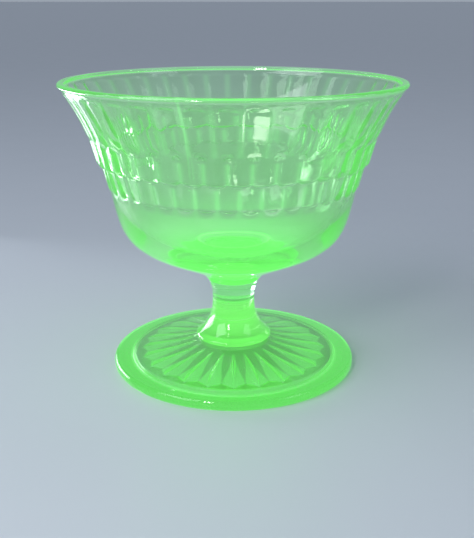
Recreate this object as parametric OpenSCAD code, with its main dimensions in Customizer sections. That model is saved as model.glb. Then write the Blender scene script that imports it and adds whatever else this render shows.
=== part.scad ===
// Footed dessert dish in pressed uranium glass.
// Four pieces of glass fused hot, one on top of the other: foot, stem, collar and bowl.
// Millimetres, +Z up, origin at the centre of the ring that the foot stands on.

/* [Whole dish] */
// Height from the table to the top of the lip
dish_h = 82.5; // [82:0.5:88]
// Diameter over the lip
lip_d = 95; // [93:0.5:100]
// Facets that a true round is drawn with on screen
round_fn = 120; // [60:20:200]

/* [Foot] */
// Diameter of the foot
foot_d = 71.2; // [68:0.2:76]
// Height of the foot's outer edge
foot_edge_h = 2.6; // [2.2:0.1:3.2]
// Height of the foot's top where the stem stands on it
foot_crown_h = 7.6; // [7.3:0.1:8]
// Width of the ring that touches the table
ring_w = 6; // [5:0.25:6.5]
// Depth of the hollow just inside the ring
ring_step_h = 1.6; // [1.3:0.1:1.8]
// Number of rays pressed in the underside
ray_count = 24; // [16:1:32]
// Outer radius that the ray grooves run out to
ray_outer_r = 27.4; // [26:0.1:27.8]
// Inner radius that the ray grooves start from
ray_inner_r = 11; // [10:0.1:12]
// Width of a ray groove at the surface of the hollow
ray_w = 2; // [1.2:0.1:2.4]
// Height of a ray groove above the smooth hollow
ray_h = 0.45; // [0.3:0.05:0.6]

/* [Stem] */
// Radius of the stem at its narrowest
stem_waist_r = 6.15; // [5.6:0.05:6.8]
// Radius of the bell that the stem ends in
bell_r = 11.05; // [10.6:0.05:11.6]
// Height of the bell's rounded edge, from the foot up to its widest line
bell_edge_h = 1; // [0.8:0.05:1.3]

/* [Collar] */
// Height of the collar's underside, where the stem is narrowest
collar_z = 19.5; // [19:0.1:20]
// Height of the collar
collar_h = 6; // [5.6:0.1:6.2]
// Radius of the collar's upper edge
collar_top_r = 7.6; // [7.2:0.05:8]

/* [Bowl] */
// Number of petals in each of the three rows
petal_count = 40; // [32:1:48]
// Width of the crease between two petals
crease_w = 2.4; // [1.6:0.1:3]
// Depth of a crease in the two low rows
crease_depth = 0.5; // [0.3:0.05:0.6]
// Depth of a crease in the tall row
tall_crease_depth = 0.35; // [0.2:0.05:0.5]
// Height where the lowest row of petals begins
row_low_z = 53.3; // [52.8:0.1:53.8]
// Height where the middle row of petals begins
row_mid_z = 60; // [59.6:0.1:60.4]
// Height where the tall row of petals begins
row_top_z = 67; // [66.6:0.1:67.4]
// Height where the tall petals end under the lip
row_end_z = 79.7; // [79.3:0.1:80]
// Height of the inside of the bowl at its centre
well_z = 34; // [33.4:0.1:34.6]
// Radius of the sunk disc inside the bowl
well_r = 9.9; // [9.3:0.1:10.5]
// Depth of the sunk disc
well_step_h = 0.5; // [0.3:0.1:0.7]
// Height of the lip's bead
lip_h = 1.2; // [1.1:0.1:1.5]
// Thickness of the lip
lip_w = 2.1; // [1.9:0.1:2.4]

/* [Hidden] */
glass_pale = [0.56, 0.92, 0.42];
glass_deep = [0.45, 0.85, 0.35];
lip_r = lip_d / 2;
foot_r = foot_d / 2;
bowl_z = collar_z + collar_h;
curve_steps = 14;
arc_steps = 6;

// How far a row's lower edge stands out over the glass below it
low_ledge = 0.5;
mid_ledge = 1.1;
top_ledge = 0.25;
ledge_rise = 0.5;

// Where the lowest row's first crease is, as a part of one petal; the middle row is half a petal on
low_turn = 0.28;

// Where the underside of the bowl turns from a cone to a round wall
under_knee = [19, 32.2];

// Bends of the underside: the flare that leaves the collar, then the round wall up to the rows
flare_bend_low = [collar_top_r + 1.6, bowl_z + 2.5];
flare_bend_high = [11.4, bowl_z + 3.3];
round_bend_low = [31.35, 37.55];
round_bend_high = [31.95, 39.7];

// Radius of the crests at each row's ends, from the lowest row up
low_r0 = 35.2;
low_r1 = 36.75;
mid_r0 = low_r1 + mid_ledge;
mid_r1 = 39.6;
top_r0 = mid_r1 + top_ledge;
low_z0 = row_low_z + ledge_rise;
mid_z0 = row_mid_z + ledge_rise;
shoulder_z = dish_h - lip_h - 0.35;
shoulder_r = lip_r - 0.75;
tall_mid_z = 73;
tall_mid_r = lip_r - 5.2;
tall_end_r = lip_r - 1.6;
tall_bend_low = [lip_r - 5.5, tall_mid_z - 0.4];
tall_bend_high = [lip_r - 3.4, tall_mid_z + 3.7];

// Roundings of the lip, and how far the skin of the lip stands out over the shoulder
lip_outer_round = 0.8;
lip_inner_round = 0.6;
lip_step = 0.15;

// Inside radius of the bowl where its wall straightens, and at the tall row
wall_low_r = low_r0 - 2.95;
wall_top_r = mid_r1 - 3;
wall_lip_r = lip_r - lip_w;
wall_lip_bend = [lip_r - 5.4, dish_h - 5.9];
wall_top_bend = [wall_top_r + 2.4, row_top_z + 5];
wall_low_bend = [wall_low_r - 2.15, row_low_z - 11.5];
well_bend = [25.6, well_z + 2.1];
well_edge_w = 0.8;
well_round = 0.1;

// Slope of the foot's top and of the hollow under it
bell_edge_r = 0.65;
crown_r = bell_r - bell_edge_r;
bell_z = foot_crown_h + bell_edge_h;
foot_slope = (foot_crown_h - foot_edge_h) / (foot_r - crown_r);
hollow_r = foot_r - ring_w;
hollow_end_r = ray_outer_r - ray_h / foot_slope;
hub_r = 8;

// Height of the hollow's roof at a radius
function hollow_at(r) = ring_step_h + foot_slope * (hollow_end_r - r);

// A point on a cubic curve
function cubic(a, b, c, d, t) =
    pow(1 - t, 3) * a + 3 * pow(1 - t, 2) * t * b + 3 * (1 - t) * t * t * c + pow(t, 3) * d;

// A whole cubic curve, both ends included
function curve(a, b, c, d, steps = curve_steps) =
    [for (i = [0:steps]) cubic(a, b, c, d, i / steps)];

// Points on an arc
function arc(cx, cz, r, from, to, steps = arc_steps) =
    [for (i = [0:steps]) let (a = from + (to - from) * i / steps) [cx + r * cos(a), cz + r * sin(a)]];

module turned(outline) {
    rotate_extrude($fn = round_fn)
        polygon(outline);
}

// A V-shaped cutter lying on a sloping surface, from one point of it to another
module vee(from, to, width, depth) {
    lean = atan2(to.x - from.x, to.y - from.y);
    skirt = 1;
    mouth = width / 2 * (depth + skirt) / depth;
    translate([from.x, 0, from.y])
        rotate([0, lean, 0])
            rotate([0, 0, 90])
                linear_extrude(height = norm(to - from))
                    polygon([[-mouth, -skirt], [mouth, -skirt], [0, depth]]);
}

// The creases between the petals of one row, all round the bowl
module creases(low, high, turn, depth) {
    for (i = [0:petal_count - 1])
        rotate([0, 0, -90 + (i + turn) * 360 / petal_count])
            vee(low, high, crease_w, depth);
}

// The bowl: thick at the bottom, flared to a beaded lip, three rows of petals outside, smooth inside
module bowl() {
    outside = concat(
        curve([collar_top_r, bowl_z], flare_bend_low, flare_bend_high, under_knee, 8),
        curve(under_knee, round_bend_low, round_bend_high, [low_r0 - low_ledge, row_low_z - 0.2]),
        [[low_r0, low_z0],
         [low_r1, row_mid_z],
         [mid_r0, mid_z0],
         [mid_r1, row_top_z]],
        curve([top_r0, row_top_z + ledge_rise], tall_bend_low, tall_bend_high, [shoulder_r, shoulder_z], 6)
    );
    lip = concat(
        [[lip_r - lip_step, shoulder_z + lip_step]],
        arc(lip_r - lip_outer_round, dish_h - lip_outer_round, lip_outer_round, 0, 90),
        arc(wall_lip_r + lip_inner_round, dish_h - lip_inner_round, lip_inner_round, 90, 180)
    );
    inside = concat(
        curve([wall_lip_r - lip_step, dish_h - lip_h], wall_lip_bend, wall_top_bend, [wall_top_r, row_top_z]),
        curve([wall_low_r, row_low_z], wall_low_bend, well_bend,
              [well_r + well_edge_w, well_z + well_step_h]),
        [[well_r, well_z + well_round]]
    );
    color(glass_pale)
        difference() {
            turned(concat([[0, bowl_z]], outside, lip, inside, [[0, well_z]]));
            creases([low_r0, low_z0], [low_r1, row_mid_z], low_turn, crease_depth);
            creases([mid_r0, mid_z0], [mid_r1, row_top_z], low_turn + 0.5, crease_depth);
            creases([top_r0, row_top_z + ledge_rise], [tall_mid_r, tall_mid_z], low_turn, tall_crease_depth);
            creases([tall_mid_r, tall_mid_z], [tall_end_r, row_end_z], low_turn, tall_crease_depth);
        }
}

// The collar: a short neck of glass that joins the bowl to the stem
module collar() {
    straight_h = 2.2;
    flare_h = 1.9;
    color(glass_deep)
        turned(concat(
            [[0, collar_z]],
            curve([stem_waist_r, collar_z], [stem_waist_r, collar_z + straight_h],
                  [stem_waist_r + 0.25, bowl_z - flare_h], [collar_top_r, bowl_z], 10),
            [[0, bowl_z]]
        ));
}

// The stem: solid glass, drawn in at the waist and spread to a bell at the bottom
module stem() {
    bell_bend = [stem_waist_r + 1.15, bell_z + 3];
    waist_bend = [stem_waist_r, collar_z - 4.5];
    color(glass_deep)
        turned(concat(
            [[0, foot_crown_h], [crown_r, foot_crown_h]],
            arc(crown_r, foot_crown_h + bell_edge_r, bell_edge_r, -60, 0),
            curve([bell_r, bell_z], bell_bend, waist_bend, [stem_waist_r, collar_z]),
            [[0, collar_z]]
        ));
}

// The foot: a shallow cone on a standing ring, hollow beneath and rayed underneath
module foot() {
    edge_r = 0.9;
    hub_z = hollow_at(hub_r);
    step_slant = 0.6;
    color(glass_pale)
        difference() {
            turned(concat(
                [[0, hub_z],
                 [hub_r, hub_z],
                 [hollow_end_r, ring_step_h],
                 [hollow_r - step_slant, ring_step_h],
                 [hollow_r, 0]],
                arc(foot_r - edge_r, edge_r, edge_r, -90, 0),
                arc(foot_r - edge_r, foot_edge_h - edge_r, edge_r, 0, 80),
                [[crown_r, foot_crown_h],
                 [0, foot_crown_h]]
            ));
            for (i = [0:ray_count - 1])
                rotate([0, 0, -90 + i * 360 / ray_count])
                    vee([ray_inner_r, hollow_at(ray_inner_r)], [ray_outer_r + 1, hollow_at(ray_outer_r + 1)],
                        ray_w, ray_h);
        }
}

bowl();
collar();
stem();
foot();
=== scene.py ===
import math

import bmesh
import bpy
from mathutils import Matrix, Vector


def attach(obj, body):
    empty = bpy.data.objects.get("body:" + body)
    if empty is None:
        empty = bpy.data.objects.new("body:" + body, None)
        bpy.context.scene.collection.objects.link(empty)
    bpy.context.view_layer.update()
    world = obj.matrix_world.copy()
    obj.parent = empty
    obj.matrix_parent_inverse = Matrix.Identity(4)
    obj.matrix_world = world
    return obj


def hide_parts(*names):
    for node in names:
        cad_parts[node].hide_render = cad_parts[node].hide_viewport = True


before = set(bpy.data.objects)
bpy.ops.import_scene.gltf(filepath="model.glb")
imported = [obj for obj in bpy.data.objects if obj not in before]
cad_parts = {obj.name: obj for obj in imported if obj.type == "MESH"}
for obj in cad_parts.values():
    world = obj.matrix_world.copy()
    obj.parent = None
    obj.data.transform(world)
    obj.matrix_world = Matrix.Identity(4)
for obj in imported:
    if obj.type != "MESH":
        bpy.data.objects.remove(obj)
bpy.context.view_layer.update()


# The bowl: 2.1 mm of glass at the lip and 8.5 mm at the bottom, pressed between a plain plunger and a
# mould whose wall is cut with three rows of forty round-ended petals, each row lapping the one below
# by half a petal. Three mould seams run down it, and the lip was melted round afterwards.
MM = 0.001
scene = bpy.context.scene


def cubic(a, b, c, d, steps):
    """Points on a cubic curve in millimetres, both ends included."""
    points = []
    for i in range(steps + 1):
        t = i / steps
        w = ((1 - t) ** 3, 3 * (1 - t) ** 2 * t, 3 * (1 - t) * t * t, t ** 3)
        points.append(tuple(w[0] * a[k] + w[1] * b[k] + w[2] * c[k] + w[3] * d[k] for k in (0, 1)))
    return points


def round_off(cx, cz, r, start, end, steps):
    """Points on an arc in millimetres."""
    turn = [math.radians(start + (end - start) * i / steps) for i in range(steps + 1)]
    return [(cx + r * math.cos(a), cz + r * math.sin(a)) for a in turn]


petals = 40
columns = petals * 12
rows = [
    {"z": 53.3, "r": ((53.8, 35.2), (60.0, 36.75)), "turn": -2.0, "swell": 0.66, "lap": 1.4, "reach": 1.0},
    {"z": 60.0, "r": ((60.5, 37.85), (67.0, 39.6)), "turn": 2.5, "swell": 0.66, "lap": 1.5, "reach": 1.0},
    {"z": 67.0, "r": ((67.5, 39.85), (80.7, 46.35)), "turn": -2.0, "swell": 0.36, "lap": 1.5, "reach": 1.9},
]
tall = cubic((39.85, 67.5), (41.8, 72.6), (43.9, 76.6), (46.9, 80.9), 40)
under = cubic((7.6, 25.5), (9.2, 28), (11.4, 28.8), (19, 32.2), 12)
under += cubic((19, 32.2), (31.35, 37.55), (31.95, 39.7), (34.65, 53.1), 26)[1:]
# How a ledge steps out: height above the row's start, and the share of the step reached there
ledge = [(0, 0), (0.12, 0.2), (0.32, 0.5), (0.6, 0.77), (0.9, 0.93), (1.25, 1)]
top_z, arch_z, seam_deg = 80.7, 1.2, -15.5
# Depth of glass that counts as outside, how far a lap and an arch fade out, and how proud a seam is
outside_depth, lap_fade, arch_fade, seam_h = 1.4, 3.2, 2.6, 0.14


def between(table, x, key=0, value=1):
    """A straight-line reading of a table of points."""
    for low, high in zip(table, table[1:]):
        if x <= high[key]:
            break
    part = (x - low[key]) / (high[key] - low[key])
    return low[value] + (high[value] - low[value]) * part


def crest(k, z):
    """Radius of the crown of row k's petals at a height."""
    if k < 0:
        return between(under, z, 1, 0)
    if k == 2:
        return between(tall, z, 1, 0)
    return between(rows[k]["r"], z)


def across(k, degrees):
    """Where in its own petal a direction lies, from -1 to 1."""
    part = (degrees - rows[k]["turn"]) / (360 / petals)
    return 2 * (part - round(part))


def face_radius(k, z, degrees):
    """Radius of row k's pressed face; below the rows it is plain."""
    if k < 0:
        return crest(k, z)
    x = across(k, degrees)
    fade = min(max((z - rows[k]["z"]) / 1.2, 0), 1) if k == 0 else 1
    return crest(k, z) - rows[k]["swell"] * x * x * (0.6 + 0.4 * fade)


def fall(distance, reach):
    """1 at a ledge, smoothly down to 0 at a distance."""
    t = min(max(distance / reach, 0), 1)
    return 1 - t * t * (3 - 2 * t)


outline = [(0, 25.45), (7.5, 25.45)] + under[:-1]
marks = []
for k, row in enumerate(rows):
    above = rows[k + 1]["z"] if k < 2 else top_z
    marks += [(k, row["z"], t * row["reach"], g) for t, g in ledge]
    count = 9 if k < 2 else 17
    start = row["z"] + 1.25 * row["reach"]
    marks += [(k, start + (above - 0.25 - start) * (i + 1) / count, None, 1) for i in range(count)]
base_rings = {}
for k, z, t, g in marks:
    height = z + (t or 0)
    base_rings[round(height, 4)] = (k, t, g)
    outline.append((crest(k, max(height, rows[k]["r"][0][0])), height))
outline += [(46.58, 80.8), (46.66, 81.02), (46.76, 81.2), (46.95, 81.32), (47.2, 81.4), (47.38, 81.52)]
outline += round_off(46.62, 81.68, 0.86, 0, 90, 8) + [(46.3, 82.54)]
outline += round_off(46.0, 81.94, 0.6, 90, 180, 6)
outline += cubic((45.3, 81.2), (42.1, 76.4), (39, 72), (36.6, 67), 14)
outline += cubic((36.3, 66.0), (34.4, 60), (33.2, 56), (32.2, 52.6), 6)
outline += cubic((32.1, 52), (30.1, 41.8), (25.6, 35.9), (11.4, 34.55), 20)
outline += [(11.15, 34.6), (10.9, 34.72), (10.6, 34.72), (10.35, 34.55), (10.15, 34.25), (9.9, 34.06)]
outline += [(9, 34), (0, 34)]


def turned(outline, steps):
    """A mesh turned round the axis from an outline of (radius, height) points in millimetres."""
    bm = bmesh.new()
    chain = [bm.verts.new((0, -r * MM, z * MM)) for r, z in outline]
    edges = [bm.edges.new(pair) for pair in zip(chain, chain[1:])]
    bmesh.ops.spin(bm, geom=chain + edges, cent=(0, 0, 0), axis=(0, 0, 1), angle=math.tau,
                   steps=steps, use_merge=True, use_duplicate=False)
    bmesh.ops.remove_doubles(bm, verts=bm.verts[:], dist=1e-7)
    bmesh.ops.recalc_face_normals(bm, faces=bm.faces[:])
    return bm


# The plain outline is turned first; then every point of the pressed outside is moved to its petal
bm = turned(outline, columns)
for v in bm.verts:
    z0 = v.co.z / MM
    r0 = math.hypot(v.co.x, v.co.y) / MM
    ring = base_rings.get(round(z0, 4))
    row_here = 0 if z0 < 60 else (1 if z0 < 67 else 2)
    if r0 <= crest(row_here, min(max(z0, 53.1), 80.9)) - outside_depth or not 48 < z0 < 80.7:
        continue
    degrees = math.degrees(math.atan2(v.co.x, -v.co.y))
    k = ring[0] if ring else (-1 if z0 < 53.3 else 2)
    lift = 0.0
    for j, row in enumerate(rows):
        x = across(j, degrees)
        gap = z0 - row["z"]
        bow = 1 - math.sqrt(max(1 - 0.95 * x * x, 0))
        lift += row["lap"] * bow * fall(gap - 1.25 * row["reach"] if gap > 0 else -gap, lap_fade)
    x = across(2, degrees)
    lift -= arch_z * (x * x) ** 1.5 * fall(abs(z0 - top_z + 0.3), arch_fade) if z0 < 80.6 else 0
    z = z0 + lift
    r = face_radius(k, z, degrees) if z0 < 80.6 else r0
    if ring and ring[1] is not None:
        lower = face_radius(k - 1, z, degrees) if k > 0 else crest(0, z) - 0.55
        r = lower + (r - lower) * ring[2]
    if k == 2 and z0 > top_z - 0.5:
        r = between(tall, z, 1, 0) - 0.3
    for seam in (seam_deg, seam_deg + 117, seam_deg + 243):
        if abs((degrees - seam + 180) % 360 - 180) < 180 / columns * 1.01:
            r += seam_h
    scale = r / r0
    v.co = Vector((v.co.x * scale, v.co.y * scale, z * MM))


# The glass itself: one uranium batch for the whole dish, pressed hot, so all four pieces share one
# finish group for its ripples, flow streaks and seeds. Each piece has its own depth of green and a painted
# green glow from emission, painted stronger where light that runs inside the glass comes out: edges, ribs
# and the bottom.
def maths(tree, kind, a, b=0.0):
    """One sum in a node tree; a and b are numbers or sockets."""
    node = tree.nodes.new("ShaderNodeMath")
    node.operation = kind
    for socket, value in zip(node.inputs, (a, b)):
        if isinstance(value, (int, float)):
            socket.default_value = value
        else:
            tree.links.new(value, socket)
    return node.outputs[0]


def spread(tree, source, low, high, to_low=0.0, to_high=1.0):
    """A smooth step from one level to another as the source goes from low to high."""
    node = tree.nodes.new("ShaderNodeMapRange")
    node.interpolation_type = "SMOOTHSTEP"
    for key, value in (("From Min", low), ("From Max", high), ("To Min", to_low), ("To Max", to_high)):
        node.inputs[key].default_value = value
    tree.links.new(source, node.inputs["Value"])
    return node.outputs["Result"]


def pressed_finish():
    """A node group with the colour, roughness and surface height of pressed, fire-polished glass."""
    group = bpy.data.node_groups.new("pressed_glass_finish", "ShaderNodeTree")
    face = group.interface
    tint = face.new_socket("Tint", in_out="INPUT", socket_type="NodeSocketColor")
    tint.default_value = (0.8, 1, 0.75, 1)
    face.new_socket("Color", in_out="OUTPUT", socket_type="NodeSocketColor")
    face.new_socket("Roughness", in_out="OUTPUT", socket_type="NodeSocketFloat")
    face.new_socket("Height", in_out="OUTPUT", socket_type="NodeSocketFloat")
    face.new_socket("Flow", in_out="OUTPUT", socket_type="NodeSocketFloat")
    n, link = group.nodes, group.links.new
    entry, leave = n.new("NodeGroupInput"), n.new("NodeGroupOutput")
    where = n.new("ShaderNodeTexCoord")

    def noise(size, detail, stretch=(1, 1, 1)):
        scale = n.new("ShaderNodeMapping")
        scale.inputs["Scale"].default_value = stretch
        link(where.outputs["Object"], scale.inputs["Vector"])
        tex = n.new("ShaderNodeTexNoise")
        tex.inputs["Scale"].default_value = 1 / size
        tex.inputs["Detail"].default_value = detail
        link(scale.outputs["Vector"], tex.inputs["Vector"])
        return tex.outputs["Fac"]

    ripple = noise(0.011, 2)
    chill = noise(0.0035, 3, (1, 1, 0.35))
    film = noise(0.02, 4)
    seeds = n.new("ShaderNodeTexVoronoi")
    seeds.inputs["Scale"].default_value = 95
    link(where.outputs["Object"], seeds.inputs["Vector"])
    seed = spread(group, seeds.outputs["Distance"], 0.0, 0.035, 1, 0)

    waves = maths(group, "ADD", maths(group, "MULTIPLY", ripple, 0.75), maths(group, "MULTIPLY", chill, 0.22))
    link(maths(group, "ADD", waves, maths(group, "MULTIPLY", seed, 0.3)), leave.inputs["Height"])

    # Handling marks: a drier film in patches, and wear where the standing ring rubs the table
    apart = n.new("ShaderNodeSeparateXYZ")
    link(where.outputs["Object"], apart.inputs["Vector"])
    scuffed = spread(group, apart.outputs["Z"], 0.0, 0.0006, 1, 0)
    rubbed = maths(group, "MULTIPLY", scuffed, noise(0.0009, 2, (1, 4, 1)))
    film_rough = spread(group, film, 0.35, 0.75, 0.018, 0.05)
    link(maths(group, "ADD", film_rough, maths(group, "MULTIPLY", rubbed, 0.5)), leave.inputs["Roughness"])

    shade = n.new("ShaderNodeMix")
    shade.data_type = "RGBA"
    shade.blend_type = "MULTIPLY"
    shade.inputs[7].default_value = (0.93, 0.97, 0.9, 1)
    link(spread(group, film, 0.3, 0.7), shade.inputs[0])
    link(entry.outputs["Tint"], shade.inputs[6])
    link(shade.outputs[2], leave.inputs["Color"])

    # Slow streaks of richer and poorer glass from the gather, which only vary the strength of the painted
    # glow
    link(spread(group, noise(0.016, 2, (1, 1, 0.5)), 0.3, 0.7, 0.8, 1.2), leave.inputs["Flow"])
    return group


finish = pressed_finish()


def uranium_glass(name, tint, skin_glow, depth_glow, depth_green, glow=(0.22, 1, 0.18), ripple_mm=0.05):
    """Clear green glass that takes out red and blue with depth and shines green from inside.

    The glow is painted: skin_glow is the painted glow of the surface, depth_glow the painted glow per
    metre of glass, and depth_green the colour that is left after a long way through it.
    """
    mat = bpy.data.materials.new(name)
    mat.use_nodes = True
    n, link = mat.node_tree.nodes, mat.node_tree.links.new
    shader, out = n["Principled BSDF"], n["Material Output"]
    marks = n.new("ShaderNodeGroup")
    marks.name = "finish"
    marks.node_tree = finish
    marks.inputs["Tint"].default_value = (*tint, 1)
    link(marks.outputs["Color"], shader.inputs["Base Color"])
    link(marks.outputs["Roughness"], shader.inputs["Roughness"])
    bump = n.new("ShaderNodeBump")
    bump.inputs["Strength"].default_value = 1
    bump.inputs["Distance"].default_value = ripple_mm * MM
    link(marks.outputs["Height"], bump.inputs["Height"])
    link(bump.outputs["Normal"], shader.inputs["Normal"])
    shader.inputs["Metallic"].default_value = 0
    shader.inputs["Transmission Weight"].default_value = 1
    shader.inputs["IOR"].default_value = 1.5
    # Painted glow on the skin: green emission, made stronger and weaker by the flow streaks
    shader.inputs["Emission Color"].default_value = (0.18, 1, 0.16, 1)
    painted_skin_glow = maths(mat.node_tree, "MULTIPLY", marks.outputs["Flow"], skin_glow)
    link(painted_skin_glow, shader.inputs["Emission Strength"])
    taken = n.new("ShaderNodeVolumeAbsorption")
    taken.inputs["Color"].default_value = depth_green
    taken.inputs["Density"].default_value = 110
    # Painted glow inside: green emission in every metre of glass
    shine = n.new("ShaderNodeEmission")
    shine.inputs["Color"].default_value = (*glow, 1)
    shine.inputs["Strength"].default_value = depth_glow
    both = n.new("ShaderNodeAddShader")
    link(taken.outputs["Volume"], both.inputs[0])
    link(shine.outputs["Emission"], both.inputs[1])
    link(both.outputs["Shader"], out.inputs["Volume"])
    return mat


def heights(mat):
    """Sockets inside a material for x, y, height and distance from the axis, all in metres."""
    n, link = mat.node_tree.nodes, mat.node_tree.links.new
    where, apart = n.new("ShaderNodeTexCoord"), n.new("ShaderNodeSeparateXYZ")
    link(where.outputs["Object"], apart.inputs["Vector"])
    x, y, z = (apart.outputs[key] for key in "XYZ")
    tree = mat.node_tree
    square = maths(tree, "ADD", maths(tree, "MULTIPLY", x, x), maths(tree, "MULTIPLY", y, y))
    return x, y, z, maths(tree, "SQRT", square)


def paint_glow(mat, where, amount):
    """Paints more glow on the skin where a mask is 1: an edge or rib that the inside light runs out of."""
    tree = mat.node_tree
    strength = tree.nodes["Principled BSDF"].inputs["Emission Strength"]
    before = strength.links[0].from_socket
    tree.links.new(maths(tree, "ADD", before, maths(tree, "MULTIPLY", where, amount)), strength)


# Painted glow on the lip, the edge of the sunk disc and the thick bottom, where the light inside comes out
bowl_glass = uranium_glass("uranium_glass_bowl", tint=(0.93, 1, 0.92), skin_glow=0.025, depth_glow=40,
                           depth_green=(0.0, 0.52, 0.0, 1), glow=(0.34, 1, 0.3))
x, y, z, r = heights(bowl_glass)
tree = bowl_glass.node_tree
paint_glow(bowl_glass, spread(tree, z, 0.0809, 0.0814), 0.08)
paint_glow(bowl_glass, spread(tree, z, 0.031, 0.046, 1, 0), 0.15)
paint_glow(bowl_glass, spread(tree, z, 0.031, 0.0395, 1, 0), 0.08)
rim = maths(tree, "MULTIPLY", spread(tree, r, 0.0099, 0.0103), spread(tree, r, 0.0109, 0.0114, 1, 0))
inner = maths(tree, "MULTIPLY", rim, spread(tree, z, 0.0338, 0.0341))
paint_glow(bowl_glass, maths(tree, "MULTIPLY", inner, spread(tree, z, 0.0349, 0.0355, 1, 0)), 0.6)
# Painted glow along the length of the creases between petals
turn = maths(tree, "MULTIPLY", maths(tree, "ARCTAN2", x, maths(tree, "MULTIPLY", y, -1)), petals / math.tau)
for row, top in zip(rows, (rows[1]["z"], rows[2]["z"], top_z)):
    part = maths(tree, "SUBTRACT", turn, row["turn"] * petals / 360)
    off = maths(tree, "SUBTRACT", part, maths(tree, "ROUND", part))
    off = maths(tree, "MULTIPLY", maths(tree, "ABSOLUTE", off), 2)
    low = spread(tree, z, (row["z"] + 0.6) * MM, (row["z"] + 1.4) * MM)
    high = spread(tree, z, (top - 1.2) * MM, (top - 0.2) * MM, 1, 0)
    crease = maths(tree, "MULTIPLY", spread(tree, off, 0.5, 1.0), maths(tree, "MULTIPLY", low, high))
    paint_glow(bowl_glass, crease, 0.1 if top < top_z else 0.05)
# Painted glow along the mould seam
seam = maths(tree, "ABSOLUTE", maths(tree, "SUBTRACT", turn, seam_deg * petals / 360))
seam = maths(tree, "MULTIPLY", spread(tree, seam, 0.01, 0.055, 1, 0), spread(tree, z, 0.052, 0.075))
paint_glow(bowl_glass, seam, 0.12)


def glass_piece(bm, name, material):
    """The finished object of one piece of glass, smooth all over."""
    mesh = bpy.data.meshes.new(name)
    bmesh.ops.recalc_face_normals(bm, faces=bm.faces[:])
    bm.to_mesh(mesh)
    bm.free()
    mesh.shade_smooth()
    piece = bpy.data.objects.new(name, mesh)
    scene.collection.objects.link(piece)
    mesh.materials.append(material)
    return piece


bowl = glass_piece(bm, "glass_bowl", bowl_glass)
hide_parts("bowl")
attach(bowl, "root")


# The collar: a short neck of paler hot glass that the bowl was stuck to the stem with. Both its faces
# are melted into their neighbours, so only a pair of faint lines shows where it begins and ends.
outline = [(0, 19.45), (6.0, 19.45), (6.13, 19.5), (6.15, 19.62)]
outline += cubic((6.15, 19.8), (6.15, 21.7), (6.4, 23.6), (7.5, 25.36), 16)
outline += [(7.52, 25.44), (7.44, 25.5), (0, 25.5)]
collar_glass = uranium_glass("uranium_glass_collar", tint=(0.84, 1, 0.92), skin_glow=0.03, depth_glow=44,
                             depth_green=(0.5, 0.6, 0.5, 1))
collar = glass_piece(turned(outline, 144), "glass_collar", collar_glass)
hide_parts("collar")
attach(collar, "root")


# The stem: solid glass, drawn in at the waist while soft and pressed out to a round-edged bell that
# was melted to the crown of the foot.
outline = [(0, 7.5), (10.3, 7.5)]
outline += round_off(10.4, 8.25, 0.65, -78, 0, 8)
outline += cubic((11.05, 8.6), (7.3, 11.6), (6.15, 15), (6.15, 19.3), 30)
outline += [(6.15, 19.42), (6.1, 19.5), (5.95, 19.52), (0, 19.52)]
stem_glass = uranium_glass("uranium_glass_stem", tint=(0.9, 1, 0.86), skin_glow=0.07, depth_glow=85,
                           depth_green=(0.15, 0.2, 0.1, 1))
stem = glass_piece(turned(outline, 144), "glass_stem", stem_glass)
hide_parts("stem")
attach(stem, "root")


# The foot: a low cone pressed with a ring to stand on and a hollow under it. Twenty-four round ribs
# with sharp valleys between them fan out from the hub on the underside and end in points.
rays = 24
hub, ray_tip, rib_h = 11.0, 27.7, 0.95
crown_h, edge_h, foot_r, crown_r = 7.6, 2.6, 35.6, 10.4
slope = (crown_h - edge_h) / (foot_r - crown_r)
outline = [(0, crown_h), (10.2, crown_h), (10.9, 7.5), (12, 7.22)]
outline += [(r, crown_h - slope * (r - crown_r) - 0.3 * math.sin(math.pi * (r - crown_r) / 24))
            for r in range(14, 34, 2)]
outline += [(33.4, 2.96), (34.2, 2.8)] + round_off(34.5, 1.72, 1.1, 80, 0, 8)
outline += round_off(34.75, 0.85, 0.85, 0, -90, 8)
outline += [(33, 0), (30.4, 0), (29.9, 0.06), (29.6, 0.3), (29.45, 0.9), (29.3, 1.35), (29.0, 1.55)]
outline += [(28.6, 1.6), (28.1, 1.6), (27.9, 1.6), (27.7, 1.6), (27.55, 1.68)]
ray_rings = 15
outline += [(27.2 - (27.2 - hub) * i / ray_rings, 1.8 + slope * (27.2 - hub) * i / ray_rings)
            for i in range(ray_rings + 1)]
outline += [(10.6, 5.05), (9.8, 5.2), (0, 5.22)]

# Each point of the hollow's roof is moved to its rib; the border is drawn in to the ribs' points
bm = turned(outline, rays * 20)
for v in bm.verts:
    r0, z0 = math.hypot(v.co.x, v.co.y) / MM, v.co.z / MM
    if not 10.7 < r0 < 28.0 or z0 > crown_h - slope * (r0 - crown_r) - 1.2:
        continue
    part = math.degrees(math.atan2(v.co.x, -v.co.y)) / (360 / rays) + 0.5
    x = 2 * abs(part - round(part))
    point = (1 - x) ** 0.8
    pull = 1 - 0.1 * point * min(max((r0 - 14) / 13.6, 0), 1)
    r = r0 * pull
    z = z0
    if r0 < 27.6:
        roof = 1.65 + slope * (27.4 - r)
        sharp = rib_h * min(max((r - hub) / 3.5, 0), 1) * min(1, 0.45 + (ray_tip - r) / 12)
        z = roof - sharp * (1 - (1 - point) ** 2) * 0.75
        z = max(z, 1.3)
    v.co = Vector((v.co.x * pull, v.co.y * pull, z * MM))
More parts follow.
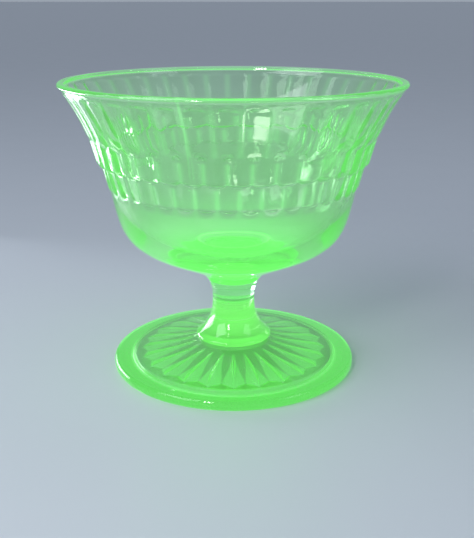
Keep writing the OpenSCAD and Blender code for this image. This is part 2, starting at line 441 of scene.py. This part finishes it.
# Painted glow on the ribs and the border, where they carry the light out; the smooth band between them gets
# none and stays dark
foot_glass = uranium_glass("uranium_glass_foot", tint=(0.82, 1, 0.82), skin_glow=0.015, depth_glow=52,
                           depth_green=(0.0, 0.1, 0.0, 1))
tree = foot_glass.node_tree
x, y, z, r = heights(foot_glass)
turn = maths(tree, "MULTIPLY", maths(tree, "ARCTAN2", x, maths(tree, "MULTIPLY", y, -1)), rays / math.tau)
off = maths(tree, "SUBTRACT", turn, maths(tree, "ROUND", turn))
off = maths(tree, "MULTIPLY", maths(tree, "ABSOLUTE", off), 2)
width = maths(tree, "ADD", spread(tree, r, 0.012, 0.0255, 0.3, 1.0), 0.08)
tip = spread(tree, r, 0.0252, 0.0278, 1.1, 0.0)
side = maths(tree, "SUBTRACT", maths(tree, "MINIMUM", width, tip), off)
rib = maths(tree, "MULTIPLY", spread(tree, side, 0.0, 0.2), spread(tree, r, 0.0112, 0.0128))
low = spread(tree, maths(tree, "ADD", z, maths(tree, "MULTIPLY", r, slope)), 0.0077, 0.0085, 1, 0)
paint_glow(foot_glass, maths(tree, "MULTIPLY", rib, low), 0.3)
paint_glow(foot_glass, spread(tree, r, 0.0293, 0.0302), 0.24)
foot = glass_piece(bm, "glass_foot", foot_glass)
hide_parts("foot")
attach(foot, "root")


# The table: a plain pale surface, faintly glossy so the foot's glow shows on it.
bm = bmesh.new()
bmesh.ops.create_grid(bm, x_segments=1, y_segments=1, size=60)
mesh = bpy.data.meshes.new("table_top")
bm.to_mesh(mesh)
bm.free()
table_top = bpy.data.objects.new("table_top", mesh)
scene.collection.objects.link(table_top)
mat = bpy.data.materials.new("pale_table")
mat.use_nodes = True
n, link = mat.node_tree.nodes, mat.node_tree.links.new
shader = n["Principled BSDF"]
where = n.new("ShaderNodeTexCoord")
grain = n.new("ShaderNodeTexNoise")
grain.inputs["Scale"].default_value = 40
tone = n.new("ShaderNodeMapRange")
tone.inputs["To Min"].default_value = 0.34
tone.inputs["To Max"].default_value = 0.42
link(where.outputs["Object"], grain.inputs["Vector"])
link(grain.outputs["Fac"], tone.inputs["Value"])
link(tone.outputs["Result"], shader.inputs["Roughness"])
shader.inputs["Base Color"].default_value = (0.55, 0.58, 0.63, 1)
mesh.materials.append(mat)


# Light: a wide soft box to the upper left, a paler one to the right, a low card behind on the left for
# the white streaks on that side, and one small lamp over the camera that picks out the petals.
def soft_box(name, place, aim, width, height, watts, colour, fan=180):
    data = bpy.data.lights.new(name, "AREA")
    data.shape = "RECTANGLE"
    data.size, data.size_y, data.energy, data.color = width, height, watts, colour
    data.spread = math.radians(fan)
    lamp = bpy.data.objects.new(name, data)
    lamp.location = place
    lamp.visible_camera = False
    lamp.rotation_euler = (Vector(aim) - Vector(place)).to_track_quat("-Z", "Y").to_euler()
    scene.collection.objects.link(lamp)


soft_box("window", (-0.5, -0.3, 0.5), (0, 0, 0.05), 0.42, 0.5, 2.6, (0.9, 0.95, 1))
soft_box("fill", (0.6, -0.3, 0.5), (0, 0, 0.04), 0.3, 0.4, 0.7, (0.85, 0.92, 1))
soft_box("side_card", (-0.15, 0.09, 0.036), (0, 0, 0.045), 0.12, 0.065, 0.05, (0.9, 0.96, 1), fan=70)
soft_box("hand_lamp", (-0.1, -0.235, 0.18), (0, 0, 0.06), 0.04, 0.085, 0.24, (1, 0.99, 0.96))
world = bpy.data.worlds.new("studio")
world.use_nodes = True
world.node_tree.nodes["Background"].inputs["Color"].default_value = (0.62, 0.7, 0.82, 1)
world.node_tree.nodes["Background"].inputs["Strength"].default_value = 0.52
scene.world = world


# Camera: close, a little above the lip, looking down at the dish.
view = bpy.data.cameras.new("camera")
view.sensor_width = 36
focal, frame_height = 824.3, 538
view.lens = focal / frame_height * view.sensor_width
view.clip_start = 0.01
camera = bpy.data.objects.new("camera", view)
camera.location = (0, -0.2302, 0.103)
camera.rotation_euler = (math.radians(90 - 18.06), 0, math.radians(-0.257))
scene.collection.objects.link(camera)
scene.camera = camera
scene.view_settings.view_transform = "Standard"
